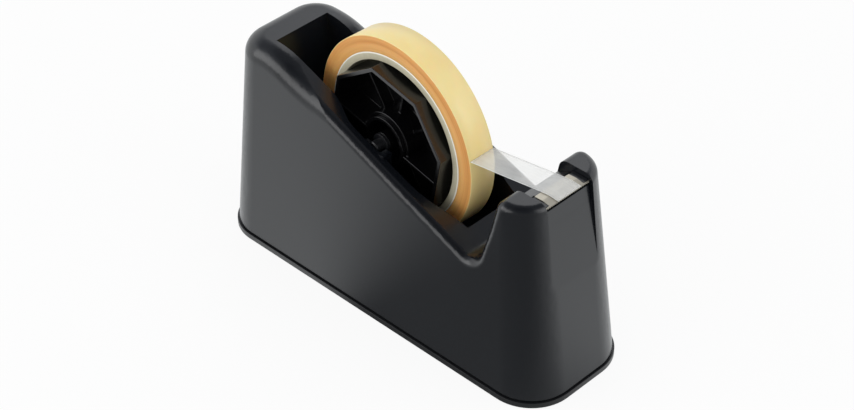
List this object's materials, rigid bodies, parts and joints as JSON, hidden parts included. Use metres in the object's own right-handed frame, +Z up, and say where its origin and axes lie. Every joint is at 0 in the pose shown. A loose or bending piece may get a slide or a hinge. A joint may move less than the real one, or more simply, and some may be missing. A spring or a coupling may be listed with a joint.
{
  "type": "desk tape dispenser",
  "caption": "Weighted desk tape dispenser: sloping casing with a deep well, lift-out spindle, spinning tape roll and a toothed cutter between two ears.",
  "frame": {"origin": "on the desk under the middle of the base", "axes": "+X from the high rear to the cutter, +Y across, +Z up"},
  "size_m": [0.2116, 0.07, 0.1376],
  "materials": {
    "housing": "satin gloss black",
    "base": "satin black",
    "ballast": "cast",
    "screws": "zinc plated",
    "blade": "bright rolled steel",
    "hub": "gloss black",
    "pin": "smooth black",
    "card": "plain board",
    "tape": "wound clear film, amber in bulk",
    "film": "clear film",
    "rubber": "matt"
  },
  "bodies": {
    "root": {"housing_shell": "housing", "base_plate": "base", "ballast_rear": "ballast", "ballast_under": "ballast", "ballast_front": "ballast", "base_screws": "screws", "blade_holder": "housing", "cutter_blade": "blade", "foot_rear_near": "rubber", "foot_rear_far": "rubber", "foot_front_near": "rubber", "foot_front_far": "rubber"},
    "spindle": {"spindle_pin": "pin", "spindle_collar_near": "pin", "spindle_collar_far": "pin", "tape_tail": "film"},
    "roll": {"spindle_hub": "hub", "core_adapter": "hub", "tape_core": "card", "tape_winding": "tape"}
  },
  "joints": [
    {"name": "spindle_lift", "type": "slide", "parent": "root", "child": "spindle", "axis": [0, 0, 1], "range_m": [0, 0.06]},
    {"name": "roll_spin", "type": "hinge", "parent": "spindle", "child": "roll", "pos_m": [-0.0077, 0, 0.0876], "axis": [0.0436, 0.999, 0], "continuous": true}
  ]
}
